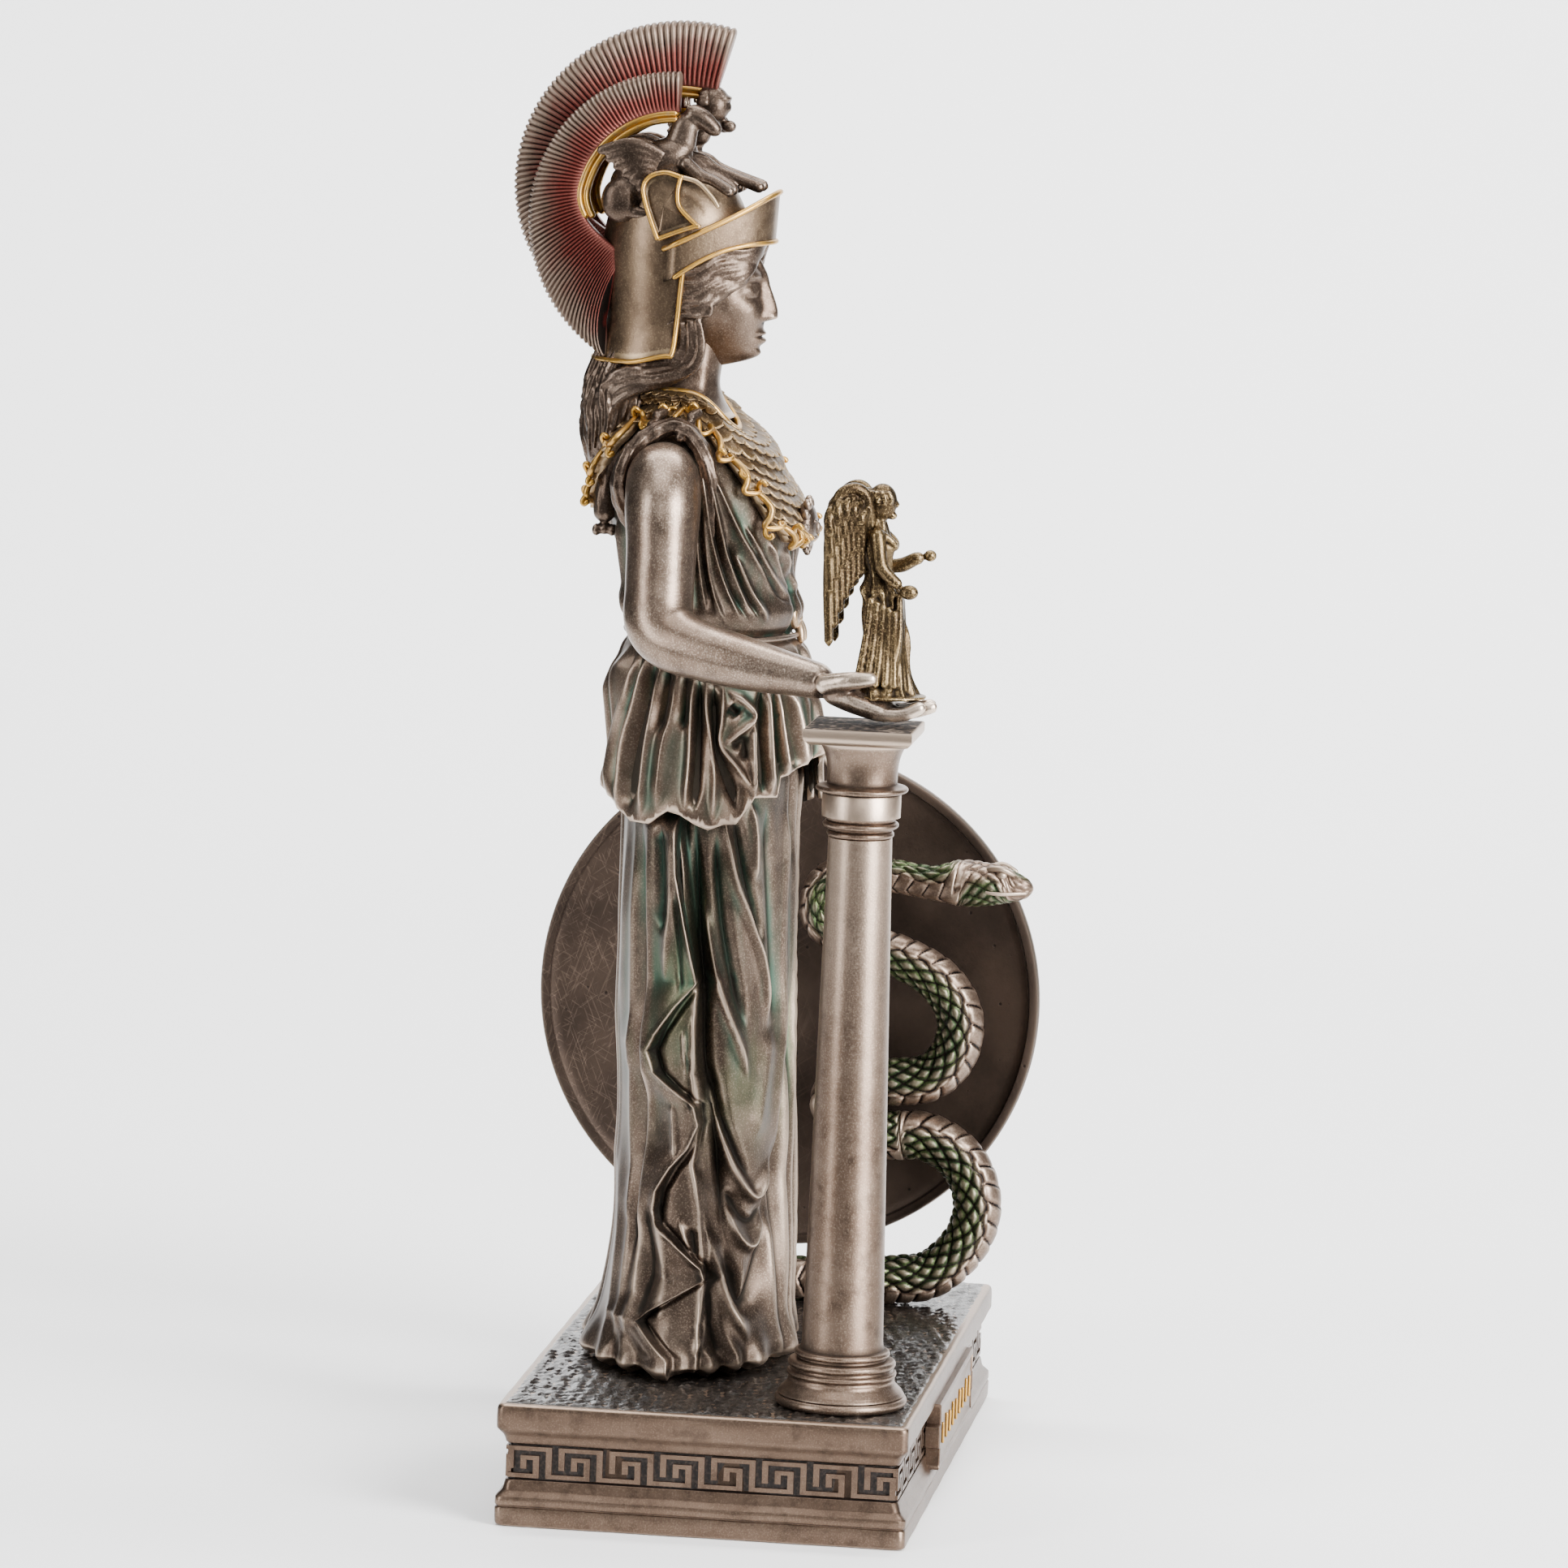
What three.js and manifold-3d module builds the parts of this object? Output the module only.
// A bronze-finish statuette: an armed goddess stands on an oblong plinth, her right hand laid on a column
// and carrying a small winged figure, her left hand on the rim of a round shield with a snake in its hollow.
// Millimetres, +Z up, the figure looks towards -Y, the origin is the middle of the plinth's underside.
import * as THREE from "three";
import { mergeVertices } from "three/addons/utils/BufferGeometryUtils.js";
import Module from "manifold-3d";

const wasm = await Module();
wasm.setup();

// Driving dimensions.
const figureHeight = 237; // plinth to the crown of the head, under the helmet's crests
const figureX = -12; // the figure's axis, to the right-hand side of the plinth's middle
const figureY = 11;
const plinthHeight = 25.1;
const plinthDepth = 83.4;
const plinthMargin = 6; // from the column's foot to the plinth's end
const frieze = { low: 9.9, high: 16.4, inset: 1.9, recess: 0.8, pitch: 10.1, margin: 0.4 };
const plate = { length: 60, low: 6.6, high: 20.4, stand: 1.3 };
const letterRow = { strokes: 6, width: 1.6, height: 6.4, step: 6.4, relief: 0.7 };
const columnBaseRadius = 13.4;
const shaftFootRadius = 8.2;
const shaftTopRadius = 6.4;
const abacusSize = 21.9;
const abacusThickness = 3.3;
const shield = { radius: 54.2, rim: 2.4, thickness: 2.6, dish: 3.4, x: 60, y: 3 };
const snakeRadius = 4.6;
const victoryHeight = 43.6;
const seam = 0.3; // clearance between pieces that touch

const turn = Math.PI * 2;
const scale = figureHeight / 237; // the figure keeps its pose and proportions as shares of its height
const ground = plinthHeight + seam;

// Small helpers.
const clamp = (v, low, high) => Math.min(high, Math.max(low, v));
const mix = (a, b, t) => a + (b - a) * t;
const smooth = (t) => {
  const c = clamp(t, 0, 1);
  return c * c * (3 - 2 * c);
};
const bump = (d, width) => Math.exp(-(d * d) / (width * width));
const angleBetween = (a, b) => Math.atan2(Math.sin(a - b), Math.cos(a - b));
const degrees = (d) => (d * Math.PI) / 180;

// A row of numbers read smoothly from a table whose first column rises.
function rowAt(table, at) {
  const last = table.length - 1;
  let i = 0;
  while (i < last - 1 && at > table[i + 1][0]) i++;
  const [a, b] = [table[i], table[i + 1]];
  const t = clamp((at - a[0]) / (b[0] - a[0]), 0, 1);
  const [before, after] = [table[Math.max(i - 1, 0)], table[Math.min(i + 2, last)]];
  const span = b[0] - a[0];
  return a.map((value, k) => {
    const slopeA = ((b[k] - before[k]) / (b[0] - before[0])) * span;
    const slopeB = ((after[k] - a[k]) / (after[0] - a[0])) * span;
    const [t2, t3] = [t * t, t * t * t];
    return (
      value * (2 * t3 - 3 * t2 + 1) + slopeA * (t3 - 2 * t2 + t) + b[k] * (3 * t2 - 2 * t3) + slopeB * (t3 - t2)
    );
  });
}

// A closed geometry becomes a solid that can be joined and cut, facing outwards whichever way it was wound.
function solid(geometry) {
  const bare = geometry.clone();
  bare.deleteAttribute("normal");
  bare.deleteAttribute("uv");
  const merged = mergeVertices(bare, 1e-4);
  const corners = Array.from(merged.index.array);
  const p = merged.attributes.position;
  const v = [new THREE.Vector3(), new THREE.Vector3(), new THREE.Vector3()];
  let volume = 0;
  for (let i = 0; i < corners.length; i += 3) {
    v.forEach((point, k) => point.fromBufferAttribute(p, corners[i + k]));
    volume += v[0].dot(v[1].clone().cross(v[2]));
  }
  if (volume < 0) for (let i = 0; i < corners.length; i += 3) corners.splice(i, 2, corners[i + 1], corners[i]);
  return new wasm.Manifold(
    new wasm.Mesh({ numProp: 3, vertProperties: p.array, triVerts: new Uint32Array(corners) }),
  );
}

function geometryOf(manifold) {
  const mesh = manifold.getMesh();
  const geometry = new THREE.BufferGeometry();
  geometry.setAttribute("position", new THREE.BufferAttribute(mesh.vertProperties, 3));
  geometry.setIndex(new THREE.BufferAttribute(mesh.triVerts, 1));
  geometry.computeVertexNormals();
  return geometry;
}

const joined = (solids) => solids.reduce((all, next) => all.add(next));

// Rings of equally many points, skinned in order and closed by a fan at each end.
function skin(rings) {
  const count = rings[0].length;
  const flat = rings.flat();
  const positions = flat.flatMap((p) => [p.x, p.y, p.z]);
  const index = [];
  for (let r = 0; r + 1 < rings.length; r++) {
    for (let i = 0; i < count; i++) {
      const j = (i + 1) % count;
      const [a, b, c, d] = [r * count + i, r * count + j, (r + 1) * count + j, (r + 1) * count + i];
      index.push(a, b, c, a, c, d);
    }
  }
  [rings[0], rings[rings.length - 1]].forEach((ring, end) => {
    const middle = ring.reduce((sum, p) => sum.add(p), new THREE.Vector3()).divideScalar(count);
    const centre = positions.length / 3;
    positions.push(middle.x, middle.y, middle.z);
    const base = end ? (rings.length - 1) * count : 0;
    for (let i = 0; i < count; i++) {
      const j = (i + 1) % count;
      if (end) index.push(base + i, base + j, centre);
      else index.push(base + j, base + i, centre);
    }
  });
  const geometry = new THREE.BufferGeometry();
  geometry.setAttribute("position", new THREE.Float32BufferAttribute(positions, 3));
  geometry.setIndex(index);
  return geometry;
}

// A limb along points [x, y, z, radius across, radius the other way], with `flat` turning the section.
function limb(points, steps, sides, sideways = new THREE.Vector3(1, 0, 0)) {
  const path = new THREE.CatmullRomCurve3(points.map((p) => new THREE.Vector3(p[0], p[1], p[2])), false, "centripetal");
  const rings = [];
  for (let s = 0; s <= steps; s++) {
    const t = s / steps;
    const at = path.getPoint(t);
    const along = path.getTangent(t);
    const across = sideways.clone().addScaledVector(along, -sideways.dot(along)).normalize();
    const other = along.clone().cross(across);
    const place = t * (points.length - 1);
    const i = Math.min(Math.floor(place), points.length - 2);
    const [u, v] = [3, 4].map((k) => mix(points[i][k], points[i + 1][k], smooth(place - i)));
    rings.push(
      Array.from({ length: sides }, (_, k) => {
        const a = (k / sides) * turn;
        return at.clone().addScaledVector(across, Math.cos(a) * u).addScaledVector(other, Math.sin(a) * v);
      }),
    );
  }
  return solid(skin(rings));
}

function ball(x, y, z, rx, ry, rz, wide = 10, high = 7) {
  const sphere = new THREE.SphereGeometry(1, wide, high).rotateX(Math.PI / 2).scale(rx, ry, rz);
  return solid(sphere.translate(x, y, z));
}

function block(lengthX, lengthY, lengthZ, x, y, z) {
  return solid(new THREE.BoxGeometry(lengthX, lengthY, lengthZ).translate(x, y, z));
}

function turned(profile, sides) {
  const points = profile.map(([radius, z]) => new THREE.Vector2(radius, z));
  return new THREE.LatheGeometry(points, sides).rotateX(Math.PI / 2);
}

// The dressed body, as half breadth and half depth about a middle that leans: height, middle, breadth, depth.
const bodyRows = [
  [0, 1.3, 33.5, 21],
  [6, 0.8, 32.5, 20.2],
  [20, -0.6, 29.6, 18.8],
  [40, -1.5, 27.8, 17.6],
  [78, -0.6, 26.8, 17.6],
  [112, 0.3, 26.3, 18],
  [132, 0.3, 25, 18.2],
  [150, 1, 20.5, 17.2],
  [162, 2.8, 23, 17.8],
  [176, 3.6, 25.5, 19],
  [184, 5.4, 26.5, 17],
  [190, 7, 23.5, 13],
  [195, 8.2, 13.5, 9.4],
  [200, 8.4, 7.4, 7],
  [206, 7.8, 6.4, 6.6],
  [212, 7, 6.2, 6.4],
];

function bodyPoint(angle, height, swell = 0) {
  const [, middle, breadth, depth] = rowAt(bodyRows, height);
  return new THREE.Vector3(
    figureX + (breadth + swell) * Math.cos(angle) * scale,
    figureY + (middle + (depth + swell) * Math.sin(angle)) * scale,
    ground + height * scale,
  );
}

// Pleats are sharp ridges with round hollows between them; a share wanders along the height.
const ridge = (share) => 1 - 2 * Math.abs(Math.sin(Math.PI * share)) ** 0.8;

function ringAround(sides, point) {
  return Array.from({ length: sides }, (_, i) => point((i / sides) * turn));
}

// The skirt: upright pleats behind and at the sides, a softer knee and hanging swags before it.
const skirtSides = 30;
const kneeAngle = degrees(250);
function skirtSwell(angle, height) {
  const knee = bump(angleBetween(angle, kneeAngle), 0.5);
  const upright = (1 - 0.75 * knee) * mix(1.9, 1.2, smooth(height / 130));
  const swags = knee * 1.1 * Math.sin(height * 0.33 + 2.4 * Math.abs(angleBetween(angle, kneeAngle)));
  return upright * ridge((angle / turn) * 10 + 0.3 * Math.sin(height / 26)) + swags + 3 * knee * bump(height - 62, 30);
}

function skirt() {
  const levels = [0, 2.4, 14, 34, 56, 80, 104, 121];
  return solid(
    skin(levels.map((height) => ringAround(skirtSides, (a) => bodyPoint(a, height, skirtSwell(a, height))))),
  );
}

// The open edge of the gown falls down her right side in zigzags, each a flat three-sided fold.
const cascade = { top: 88, low: 9, folds: 4, angle: degrees(188), reach: 0.24 };
function cascadeFolds() {
  const pieces = [];
  const drop = (cascade.top - cascade.low) / cascade.folds;
  for (let i = 0; i < cascade.folds; i++) {
    const top = cascade.top - i * drop;
    const side = i % 2 ? -1 : 1;
    const outer = cascade.angle + side * cascade.reach;
    const inner = cascade.angle - side * cascade.reach;
    const corners = [
      [inner, top],
      [outer, top - drop * 0.45],
      [inner, top - drop * 1.15],
    ];
    const ring = (swell) => corners.map(([a, h]) => bodyPoint(a, Math.max(h, 1), swell));
    pieces.push(solid(skin([ring(-2), ring(3.1)])));
  }
  return pieces;
}

// The overfold flares below the belt to a scalloped hem.
const overfoldHem = 115;
function overfold() {
  const hem = (a) => overfoldHem + 2 * Math.sin(3 * a + 0.6) + 1.4 * Math.sin(7 * a);
  const flare = [
    [0, -3],
    [0.12, 2],
    [0.55, 3.4],
    [0.95, 4.6],
    [1, 0.5],
  ];
  const rings = flare.map(([t, swell]) =>
    ringAround(skirtSides, (a) => {
      const height = mix(150, hem(a), t);
      return bodyPoint(a, height, swell + 1.5 * t * ridge((a / turn) * 10 + 0.2) * (swell > 1.5 ? 1 : 0));
    }),
  );
  return solid(skin(rings));
}

function torso() {
  const levels = [144, 155, 167, 178, 187, 192, 196, 201, 212];
  const sides = 16;
  const undercut = (height) => 2 * bump(height - 181, 9); // the cape hides it
  const fold = (a, height) => (height < 184 ? 0.9 * ridge((a / turn) * 8 + 0.4) * smooth((height - 140) / 12) : 0);
  const breast = (a, height) =>
    [245, 295].reduce((sum, d) => sum + 3 * bump(angleBetween(a, degrees(d)), 0.36) * bump(height - 171, 8), 0);
  return solid(
    skin(levels.map((height) => ringAround(sides, (a) => bodyPoint(a, height, fold(a, height) + breast(a, height) - undercut(height))))),
  );
}

// The scaly cape over her shoulders: its hem is low before and behind and rises over each arm.
function aegis() {
  const sides = 20;
  const hem = (a) => 188 - 20.5 * Math.abs(Math.sin(a)) ** 1.4 + 1.2 * Math.sin(7 * a);
  const neckline = (a) => 199 - 7 * bump(angleBetween(a, degrees(270)), 0.7);
  const steps = [
    [0, -1.5],
    [0.04, 1.2],
    [0.5, 2],
    [0.97, 2.8],
    [1, 0],
  ];
  return solid(
    skin(
      steps.map(([t, swell]) =>
        ringAround(sides, (a) => {
          const height = mix(neckline(a), hem(a), t);
          const breast = [245, 295].reduce(
            (sum, d) => sum + 3 * bump(angleBetween(a, degrees(d)), 0.36) * bump(height - 171, 8),
            0,
          );
          return bodyPoint(a, height, swell + breast);
        }),
      ),
    ),
  );
}

// Figure points are written from the figure's own axis and the plinth's top.
const own = (rows) => rows.map(([x, y, z, u, v]) => [figureX + x * scale, figureY + y * scale, ground + z * scale, u * scale, v * scale]);
const ownBall = (x, y, z, rx, ry, rz, wide, high) =>
  ball(figureX + x * scale, figureY + y * scale, ground + z * scale, rx * scale, ry * scale, rz * scale, wide, high);

const rightHand = { x: -46.4, y: -42.5, z: 141 }; // the palm, where the Victory stands
const palmZ = ground + 143.6 * scale;
const handUnderZ = ground + 138.6 * scale;
const leftHand = { x: 70, y: -12, z: 116 };

function rightArm() {
  const arm = own([
    [-25, 9, 189, 6, 7],
    [-28.5, 9, 181, 8.2, 8.6],
    [-30.5, 9.5, 170, 7.6, 7.8],
    [-33, 10.5, 157, 6.6, 7],
    [-35, 9, 151, 6.4, 6.8],
    [-38, 0, 148.8, 6.2, 6.4],
    [-42, -13, 147, 5.2, 5.2],
    [-45, -26, 146.8, 4, 3.7],
    [-46, -33, 144.4, 5.6, 3.2],
    [-46.4, -41, 141.6, 6.6, 2.7],
    [-46.4, -48, 142.4, 4.6, 1.9],
    [-46.2, -50.5, 143, 2.4, 1.1],
  ]);
  const thumb = own([
    [-49, -28, 146.4, 2, 2],
    [-51.6, -34, 147.6, 1.7, 1.9],
    [-52, -39, 148, 1.3, 1.4],
  ]);
  return [limb(arm, 12, 7), limb(thumb, 2, 4)];
}

function leftArm() {
  const arm = own([
    [25, 9, 189, 6, 7],
    [29, 9.5, 181, 8, 8.4],
    [34, 11, 169, 7, 7.6],
    [40, 12, 156, 6.2, 6.8],
    [46, 9.5, 148, 6, 6.2],
    [55, 2, 136, 5, 5],
    [64, -6, 124, 3.8, 4],
    [69.5, -11, 119.4, 4.4, 3.4],
    [73.5, -12.5, 117.4, 4.2, 2.4],
    [76.4, -13.4, 113, 3.6, 1.7],
    [76.8, -14, 109, 2, 1.2],
  ]);
  const thumb = own([
    [68.6, -14, 119, 2, 2],
    [67.6, -17, 114.6, 1.7, 1.7],
    [68, -17.6, 110.6, 1.2, 1.2],
  ]);
  return [limb(arm, 11, 7), limb(thumb, 2, 4)];
}

// The head has a plain oval face: jaw, nose, lips and chin swell from the oval.
function headAndFace() {
  const nose = [
    [0, -4.2, 225, 1.8, 1.6],
    [0, -7, 220, 1.6, 1.4],
    [0, -8.6, 216.8, 2, 1.5],
    [0, -5, 215.4, 1.4, 1],
  ];
  return [
    ownBall(0, 8.4, 219, 10.6, 14.4, 14, 10, 7),
    ownBall(0, 2.6, 212.4, 7.4, 8.8, 8, 8, 6),
    limb(own(nose), 3, 4),
    ownBall(0, -4.6, 210.4, 3.2, 2.2, 3.4, 6, 4),
  ];
}

function hair() {
  const lock = (side) => [
    [side * 3, -4.4, 228, 2.4, 2],
    [side * 9, 1, 224, 2.6, 3],
    [side * 10.8, 7, 216, 2.4, 3.4],
    [side * 8.8, 8.4, 204, 2, 2.8],
    [side * 11, 4, 195, 1.8, 2],
    [side * 13, -2, 187, 1.2, 1.2],
  ];
  const tail = [
    [0, 17, 210, 10, 7],
    [0, 21.4, 199, 12, 8.6],
    [0, 24, 188, 13, 8.6],
    [0, 25.4, 178, 11, 6.4],
    [0, 26, 168, 6, 3],
  ];
  return [limb(own(lock(-1)), 6, 4), limb(own(lock(1)), 6, 4), limb(own(tail), 4, 8)];
}

// The helmet: a bowl open before the face and low behind, a turned-up brow band, a raised cheek piece each side.
const helmetY = 11;
const browAngle = degrees(270);
function helmet() {
  const sides = 16;
  const openFront = (a) => smooth((0.06 - Math.sin(a)) / 0.22);
  const crown = 247;
  const rows = [
    [1, 0.3],
    [1, 1],
    [0.7, 1],
    [0.42, 0.96],
    [0.18, 0.72],
    [0, 0.16],
  ];
  const bowl = rows.map(([t, share], row) =>
    ringAround(sides, (a) => {
      const height = mix(crown, mix(206.4, 231, openFront(a)), t);
      const low = clamp((228 - height) / 20, 0, 1);
      const guard = row < 2 ? 1.6 * (1 - openFront(a)) : 0;
      const breadth = 13.2 - 1.4 * low + guard;
      const depth = 15 - 0.8 * low + guard;
      return own([[breadth * share * Math.cos(a), helmetY + depth * share * Math.sin(a), height, 0, 0]])[0];
    }).map(([x, y, z]) => new THREE.Vector3(x, y, z)),
  );
  const bandRows = [
    [0, -2],
    [0, 1.6],
    [0.5, 1.4],
    [1, 3.2],
    [0.96, -1],
  ];
  const band = bandRows.map(([t, out]) =>
    ringAround(sides, (a) => {
      const front = smooth(0.42 - Math.sin(a) * 0.7);
      const [low, high] = [mix(225.5, 231, front), mix(230, 241.2, front)];
      const swell = out * mix(0.3, 1, front);
      const across = (13.2 + swell) * Math.cos(a);
      return own([[across, helmetY + (14.8 + swell + 3.4 * front * t * (out > 0 ? 1 : 0.6)) * Math.sin(a), mix(low, high, t), 0, 0]])[0];
    }).map(([x, y, z]) => new THREE.Vector3(x, y, z)),
  );
  const outline = [
    [13.4, 231.4],
    [4.6, 234.6],
    [5.4, 240.4],
    [8.6, 244.6],
    [13.4, 244.4],
    [15.6, 240],
  ];
  const flaps = [-1, 1].map((side) => {
    const ring = (out) =>
      own(outline.map(([y, z]) => [side * out, y, z, 0, 0])).map(([x, y, z]) => new THREE.Vector3(x, y, z));
    return solid(skin([ring(8), ring(14.6)]));
  });
  return [solid(skin(bowl)), solid(skin(band)), ...flaps];
}

// Each crest is a fan of horsehair about one centre, thin where it meets its stilt and thicker at its edge.
const crestCentre = { y: 10.7, z: 236.6 };
const crestTail = 11.6; // behind this line, measured from the centre, the fan runs straight down the nape
const crests = [
  { x: 0, inner: 25, outer: 38.4, end: 27, from: 106, to: -60, thick: 5 },
  { x: -7, inner: 20.2, outer: 28.2, end: 33, from: 91, to: -67, thick: 4.6 },
  { x: 7, inner: 20.2, outer: 28.2, end: 33, from: 91, to: -67, thick: 4.6 },
];
function crestRing(crest, share) {
  const angle = degrees(mix(crest.from, crest.to, share));
  const outer = mix(crest.outer, crest.end, share ** 2);
  const straight = crestTail / Math.max(Math.cos(angle), 0.1);
  const round = mix(crest.inner, 14, smooth((share - 0.5) * 3));
  const inner = Math.min(Math.max(round, angle < -0.5 ? straight : 0), outer - 2);
  const section = [
    [inner, -0.28],
    [inner, 0.28],
    [outer - 1, 0.5],
    [outer, 0.24],
    [outer, -0.24],
    [outer - 1, -0.5],
  ];
  return own(
    section.map(([radius, across]) => [
      crest.x + across * crest.thick,
      crestCentre.y + radius * Math.cos(angle),
      crestCentre.z + radius * Math.sin(angle),
      0,
      0,
    ]),
  ).map(([x, y, z]) => new THREE.Vector3(x, y, z));
}

function crestSolids() {
  const steps = 11;
  return crests.map((crest) => solid(skin(Array.from({ length: steps + 1 }, (_, i) => crestRing(crest, i / steps)))));
}

// A crouching winged beast carries each crest: body and neck, forelegs, folded wing.
function beast(x, reach) {
  const side = Math.sign(x);
  const body = [
    [x, 22, 238, 4, 4.6],
    [x, 15, 244.5, 4.4, 5.4],
    [x, 11.6, 252, 3, 3.6],
    [x, 8, 257 + reach * 0.3, 2.8, 3],
    [x, 2.2 - reach * 0.4, 252.6 + reach * 0.5, 1.8, 1.8],
  ];
  const leg = [
    [x + side * 1.2, 9.4, 246 + reach * 0.5, 1.8, 1.8],
    [x + side * 1.4, 0.4 - reach, 240.4 + reach * 0.2, 1.4, 1.4],
  ];
  const wing = [
    [x + side * 3, 12, 246, 1, 2],
    [x + side * 3.6, 19, 248.6, 1, 2.8],
    [x + side * 3.2, 27, 246.6, 0.8, 1.4],
  ];
  return [limb(own(body), 5, 5), limb(own(leg), 1, 4), limb(own(wing), 2, 4)];
}

function goddess() {
  const parts = [skirt(), ...cascadeFolds(), overfold(), torso(), aegis(), ...rightArm(), ...leftArm()];
  parts.push(...headAndFace(), ...hair(), ...helmet(), ...crestSolids());
  parts.push(...beast(0, 5), ...beast(-7.6, 0), ...beast(7.6, 0));
  parts.push(ownBall(0, -14.6, 152.6, 4.2, 2.8, 3, 6, 5));
  parts.push(ownBall(0, -17, 172, 4, 2.6, 4.4, 6, 5));
  for (const side of [-1, 1]) parts.push(ownBall(side * 11, -18, 2.4, 4.6, 5.6, 2.4, 6, 5));
  return joined(parts);
}

// The column: a turned base, a tapering shaft and a round capital under a square slab.
function column(x, y, low, height) {
  const foot = columnBaseRadius;
  const capital = abacusSize * 0.42;
  const slabLow = height - abacusThickness;
  const profile = [
    [0, 0],
    [foot, 0],
    [foot, 1.8],
    [foot - 0.5, 3],
    [foot - 2.2, 5.4],
    [foot - 2.3, 7.4],
    [foot - 2.5, 9],
    [foot - 3.6, 10.4],
    [shaftFootRadius, 12.2],
    [shaftTopRadius, slabLow - 19.8],
    [shaftTopRadius + 1.2, slabLow - 17.6],
    [shaftTopRadius + 0.9, slabLow - 16],
    [shaftTopRadius + 1.6, slabLow - 11],
    [shaftTopRadius + 2.9, slabLow - 10.4],
    [shaftTopRadius + 2.8, slabLow - 9.2],
    [shaftTopRadius + 0.9, slabLow - 8.6],
    [shaftTopRadius + 0.7, slabLow - 4],
    [capital - 0.7, slabLow - 1],
    [capital, slabLow + 0.2],
    [0, slabLow + 0.2],
  ];
  const slab = block(abacusSize, abacusSize, abacusThickness, x, y, low + height - abacusThickness / 2);
  return solid(turned(profile, 16).translate(x, y, low)).add(slab);
}

// The small winged figure on the hand: gown, head, two wings and arms that reach forward with a round fruit.
function wingedFigure(x, y, low) {
  const h = victoryHeight / 43.6;
  const at = (px, py, pz) => [x + px * h, y + py * h, low + pz * h];
  const up = (rows) => rows.map(([px, py, pz, u, v]) => [...at(px, py, pz), u * h, v * h]);
  const gown = [
    [0, 5.6, 6, 0],
    [3, 4.8, 5.4, 0.2],
    [14, 3.9, 4.2, 1],
    [22, 3, 3.2, 2.2],
    [26, 2.6, 2.7, 2.8],
    [31, 3.4, 2.8, 3.2],
    [36, 1.3, 1.4, 3.2],
  ];
  const rings = gown.map(([z, a, b, back]) =>
    ringAround(10, (angle) => {
      const pleat = z < 24 ? 0.5 * Math.cos(5 * angle) : 0;
      return new THREE.Vector3(...at((a + pleat) * Math.cos(angle), back + (b + pleat) * Math.sin(angle), z));
    }),
  );
  const parts = [solid(skin(rings))];
  parts.push(ball(...at(0, 2.6, 39.4), 2.9 * h, 3.3 * h, 4.2 * h, 8, 6));
  for (const side of [-1, 1]) {
    const wing = [
      [side * 1.4, 4.4, 31, 0.8, 1.6],
      [side * 3.4, 7, 39, 1, 2.6],
      [side * 5.4, 9.8, 37, 1, 4.4],
      [side * 6.6, 11, 28, 1, 4.6],
      [side * 6.6, 10.4, 19, 0.9, 3.2],
      [side * 6.2, 9.6, 10, 0.5, 1.2],
    ];
    parts.push(limb(up(wing), 7, 6, new THREE.Vector3(1, 0.35 * side, 0)));
    const reach = side > 0 ? 1 : 0;
    const arm = [
      [side * 3.2, 3, 33, 1.2, 1.3],
      [side * 3.8, 1.4, 25, 1, 1],
      [side * 3.4, -4.6 - 3.4 * reach, 22.6 + 5 * reach, 0.9, 0.9],
    ];
    parts.push(limb(up(arm), 4, 5));
    parts.push(ball(...at(side * 3.4, -5.4 - 3.6 * reach, 22 + 5.4 * reach), 1.7 * h, 1.9 * h, 2 * h, 6, 5));
  }
  const staff = [
    [-3.2, -4.8, 21.6, 0.8, 0.8],
    [-2.8, -4.6, 1, 0.9, 0.9],
  ];
  parts.push(limb(up(staff), 2, 4));
  return joined(parts).subtract(block(40, 40, 20, x, y, low - 10));
}

// The shield stands on edge along the plinth's end, hollow side towards the figure, boss outwards.
function shieldSolid(grow) {
  const { radius, rim, thickness, dish } = shield;
  const hollow = [
    [0, -dish],
    [radius * 0.6, -dish * 0.8],
    [radius - rim, -0.6],
    [radius - rim, 0.4],
    [radius + grow, 0.4],
  ];
  const back = [
    [radius + grow, -thickness],
    [radius - rim - 1, -thickness - 0.6],
    [radius * 0.6, -dish * 0.8 - thickness],
    [radius * 0.3, -dish - thickness],
    [radius * 0.2, -dish - thickness - 2.2],
    [0, -dish - thickness - 3],
  ];
  const profile = [...hollow.map(([r, z]) => [r, z + grow]), ...back.map(([r, z]) => [r, z - grow])];
  return solid(turned(profile, 28).rotateY(-Math.PI / 2).translate(shield.x, shield.y, shieldZ));
}

// The snake winds up from the plinth along the hollow of the shield: side to side in two loops.
const snakeHeight = 93;
const snakeRows = [
  [44, 36, 1.2, 0.5],
  [50, 30, 2, 1.4],
  [50, 20, 3.6, 3],
  [47, 8, 4.2, 4],
  [46, -4, 4.6, 4.4],
  [47, -14, 4.7, 4.6],
  [48, -23, 5.2, 4.7],
  [49, -31.4, 6.8, 4.7],
  [50, -38.4, 14, 4.7],
  [50.5, -40.4, 22.6, 4.7],
  [51, -37, 31, 4.7],
  [51, -29, 36, 4.7],
  [51, -20, 36, 4.7],
  [51, -12, 38.5, 4.6],
  [51, -8.6, 43, 4.6],
  [51, -13, 47.4, 4.6],
  [51, -21.6, 47.6, 4.6],
  [51, -29.4, 49.2, 4.6],
  [51, -34.4, 55, 4.6],
  [51, -35, 63, 4.5],
  [51, -30.4, 70, 4.4],
  [51, -22, 74.6, 4.2],
  [51, -12, 77.4, 4],
  [50.5, -4.6, 82, 3.7],
  [49.5, -5, 89.6, 3.5],
  [48, -12, 93.4, 3.4],
  [46.4, -20.4, 92.8, 3.3],
  [45, -29, 92, 3.4],
];

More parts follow.
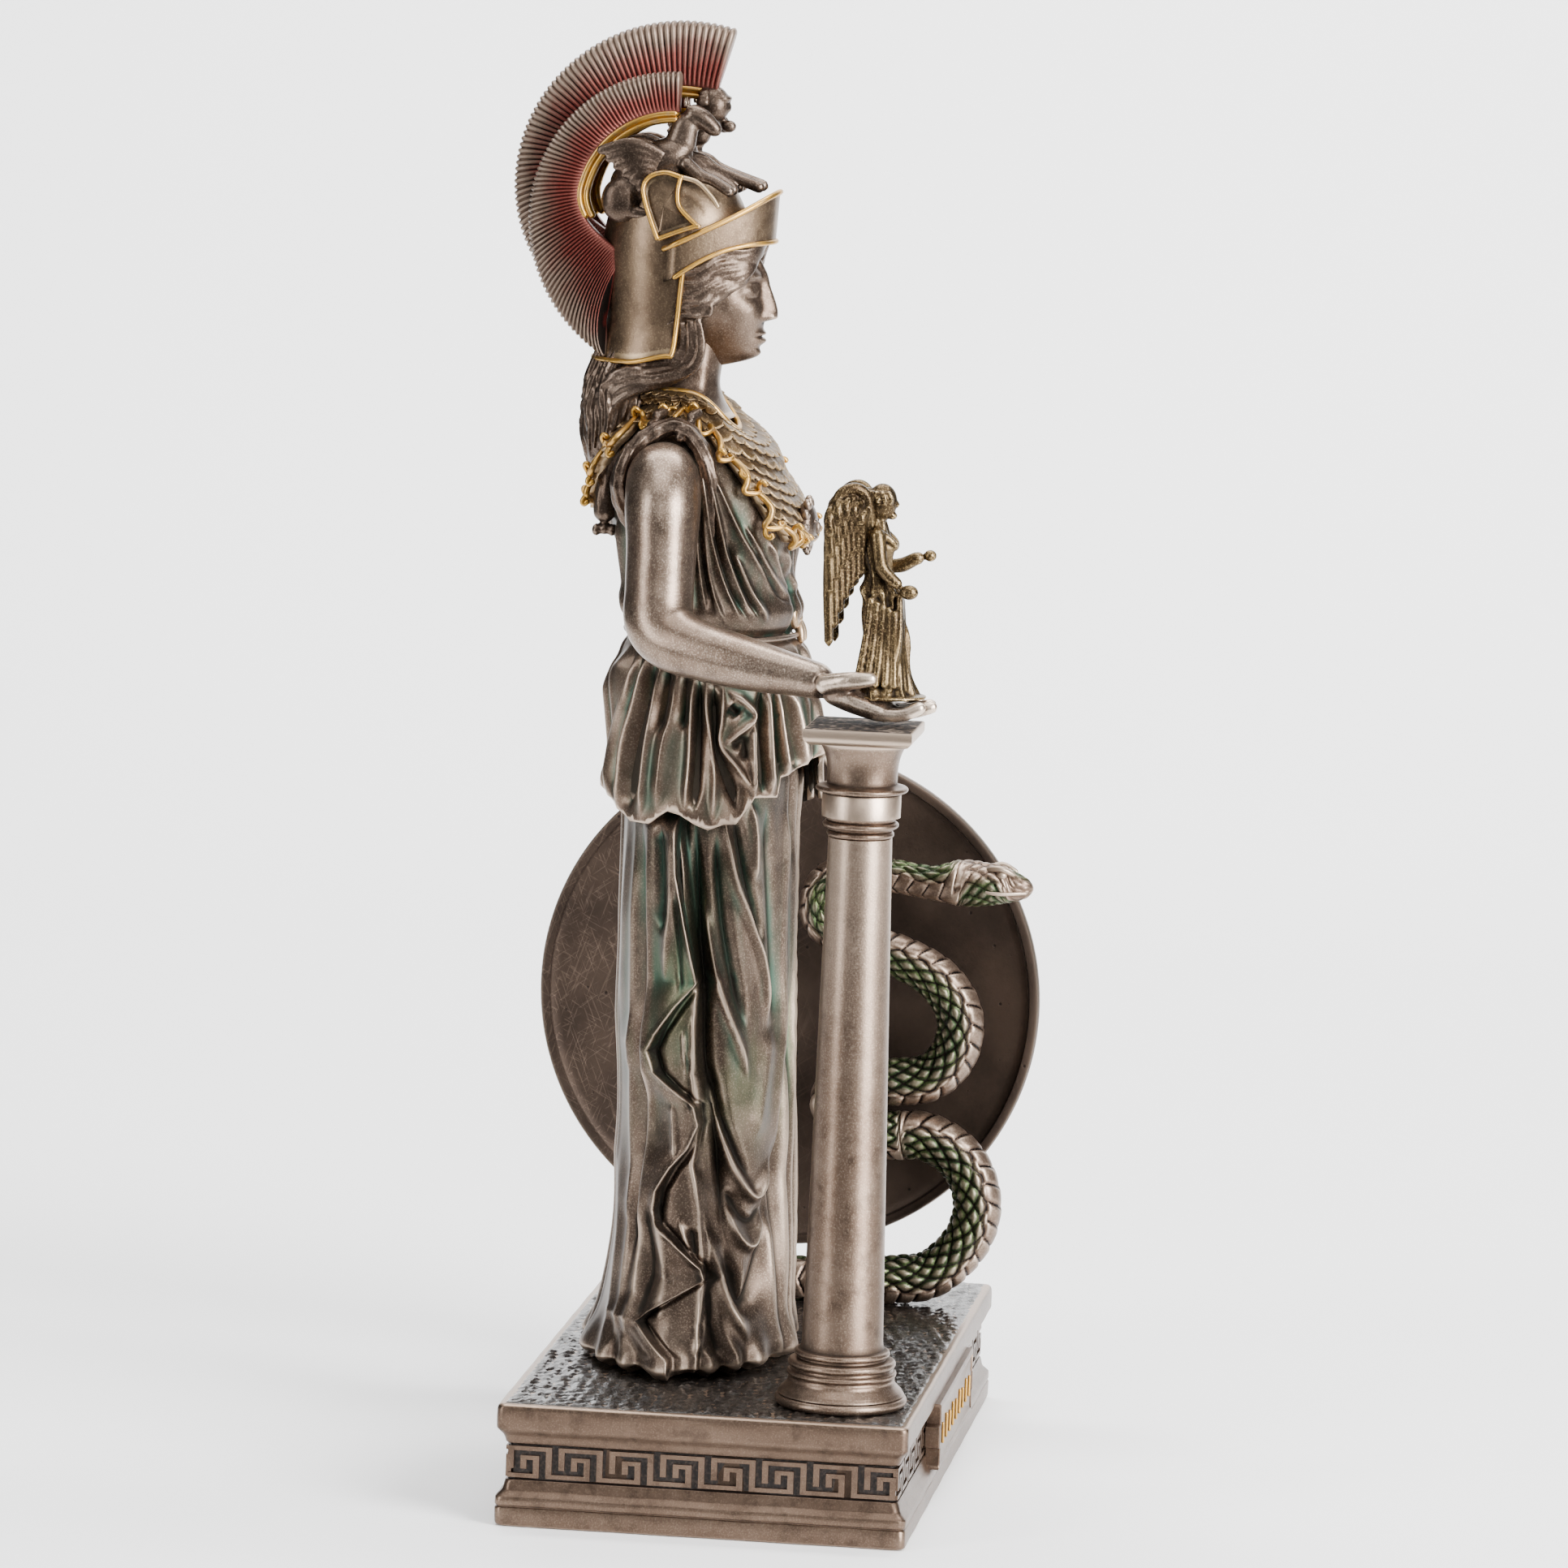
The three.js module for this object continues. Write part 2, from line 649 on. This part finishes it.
function snake() {
  const share = snakeRadius / 4.6;
  const body = snakeRows.map(([x, y, z, r]) => [x, y, ground + Math.max(z, r) , r * share, r * share]);
  const skull = [
    [45, -28, ground + 92, 3.2 * share, 3 * share],
    [44.6, -36, ground + 92.4, 4.6 * share, 4.2 * share],
    [44.4, -42, ground + 92.4, 4.2 * share, 3.8 * share],
    [44.2, -48, ground + 92, 2.6 * share, 2.4 * share],
    [44.2, -51, ground + 91.8, 1.6 * share, 1.4 * share],
  ];
  return limb(body, 36, 6).add(limb(skull, 4, 6));
}

// The plinth: mouldings run round it, and between them a frieze of raised key pattern on a sunk ground.
function plinth(length) {
  const profile = [
    [0, 0.7],
    [0.5, 0],
    [3.9, 0],
    [4.1, 0.4],
    [4.4, 0],
    [6.2, 0],
    [7.6, 1.4],
    [frieze.low - 0.5, frieze.inset],
    [frieze.low - 0.5, frieze.inset + frieze.recess],
    [frieze.high + 0.5, frieze.inset + frieze.recess],
    [frieze.high + 0.5, frieze.inset],
    [plinthHeight - 6.7, 1.3],
    [plinthHeight - 5, 0],
    [plinthHeight - 0.6, 0],
    [plinthHeight, 0.6],
  ];
  const rings = profile.map(([z, inset]) => {
    const [x, y] = [length / 2 - inset, plinthDepth / 2 - inset];
    return [
      [x, y],
      [-x, y],
      [-x, -y],
      [x, -y],
    ].map(([px, py]) => new THREE.Vector3(px, py, z));
  });
  const pieces = [solid(skin(rings))];
  for (let side = 0; side < 4; side++) pieces.push(...keyPattern(side, length));
  return joined(pieces).add(namePlate());
}

// One key: a hook above, and a square spiral that opens from its foot into the next key.
const keyColumns = 8;
const keyRows = 7;
const keyPath = [
  [0, 4],
  [0, 0],
  [6, 0],
  [6, 6],
  [12, 6],
  [12, 2],
  [10, 2],
  [10, 4],
];

function keyRibbon(cellX, cellZ, offset) {
  const half = 0.5;
  const heading = (from, to) => [Math.sign(to[0] - from[0]), Math.sign(to[1] - from[1])];
  const sideOf = (sign) =>
    keyPath.map((corner, i) => {
      const into = heading(keyPath[Math.max(i - 1, 0)], keyPath[Math.max(i, 1)]);
      const out = heading(keyPath[Math.min(i, keyPath.length - 2)], keyPath[Math.min(i + 1, keyPath.length - 1)]);
      const end = i === 0 ? -1 : i === keyPath.length - 1 ? 1 : 0;
      const bends = end === 0;
      const left = [into[1] + (bends ? out[1] : 0), -into[0] - (bends ? out[0] : 0)];
      return corner.map((value, k) => value + half * (sign * left[k] + end * into[k]));
    });
  const outline = [...sideOf(1), ...sideOf(-1).reverse()];
  return outline.map(([c, r]) => new THREE.Vector2(offset + (c + half) * cellX, frieze.high - (r + half) * cellZ));
}

function keyPattern(side, length) {
  const run = (side % 2 ? plinthDepth : length) - 2 * (frieze.inset + frieze.margin);
  const lastKey = 13; // columns that the last key of a row takes up
  const count = Math.round((run * keyColumns) / frieze.pitch / keyColumns - lastKey / keyColumns + 1);
  const cellX = run / (keyColumns * (count - 1) + lastKey);
  const cellZ = (frieze.high - frieze.low) / keyRows;
  const face = (side % 2 ? length : plinthDepth) / 2 - frieze.inset;
  return Array.from({ length: count }, (_, i) => {
    const shape = new THREE.Shape(keyRibbon(cellX, cellZ, -run / 2 + i * keyColumns * cellX));
    const geometry = new THREE.ExtrudeGeometry(shape, { depth: frieze.recess + 0.6, bevelEnabled: false });
    geometry.translate(0, 0, -0.6 - frieze.recess).rotateX(Math.PI / 2).translate(0, -face, 0);
    return solid(geometry.rotateZ((side * Math.PI) / 2));
  });
}

// The plate on the front: a thin tablet with a row of plain strokes where a name would be.
function namePlate() {
  const face = -plinthDepth / 2;
  const depth = frieze.inset + frieze.recess + plate.stand;
  const middle = (plate.low + plate.high) / 2;
  const tablet = block(plate.length, depth, plate.high - plate.low, 0, face - plate.stand + depth / 2, middle);
  const strokes = Array.from({ length: letterRow.strokes }, (_, i) => {
    const x = (i - (letterRow.strokes - 1) / 2) * letterRow.step;
    return block(letterRow.width, letterRow.relief * 2, letterRow.height, x, face - plate.stand, middle);
  });
  return joined([tablet, ...strokes]);
}

// Placing: the column stands under the hand, the Victory on it, and the shield hangs from the other hand.
const columnX = figureX + rightHand.x * scale;
const columnY = figureY - 36.5 * scale;
const columnHeight = handUnderZ - seam - ground;
const shieldZ = ground + leftHand.z * scale - shield.radius + 1.6;
const plinthLength = 2 * (Math.abs(columnX) + columnBaseRadius + plinthMargin);

const standY = figureY - 41 * scale;
const cutter = 30; // a block this tall clears the hand above and below the palm
const figure = goddess()
  .subtract(block(abacusSize + 2 * seam, abacusSize + 4, cutter, columnX, columnY, handUnderZ - cutter / 2))
  .subtract(block(14, 15, cutter, columnX, standY, palmZ + cutter / 2))
  .subtract(shieldSolid(seam))
  .subtract(block(200, 200, cutter, 0, 0, ground - cutter / 2));
const shieldPlain = shieldSolid(0);
const snakeSolid = snake().subtract(shieldSolid(seam)).subtract(figure);

// Looks and names.
const bronze = (name, color, roughness = 0.42) =>
  new THREE.MeshStandardMaterial({ name, color, roughness, metalness: 0.85 });
const materials = {
  plinth: bronze("plinth_bronze", 0x5d4a3c, 0.5),
  goddess: bronze("figure_bronze", 0x8a7361),
  column: bronze("column_bronze", 0x8d7765),
  victory: bronze("gilt_bronze", 0xa4824f),
  shield: bronze("shield_bronze", 0x6a5648, 0.48),
  snake: bronze("snake_green", 0x3c4a2c, 0.5),
};

const statue = new THREE.Group();
function place(name, manifold, material) {
  const mesh = new THREE.Mesh(geometryOf(manifold), material);
  mesh.name = name;
  statue.add(mesh);
}
place("plinth", plinth(plinthLength), materials.plinth);
place("goddess", figure, materials.goddess);
place("column", column(columnX, columnY, ground, columnHeight), materials.column);
place("winged_victory", wingedFigure(columnX, standY, palmZ + seam), materials.victory);
place("shield", shieldPlain, materials.shield);
place("snake", snakeSolid, materials.snake);

export default statue;
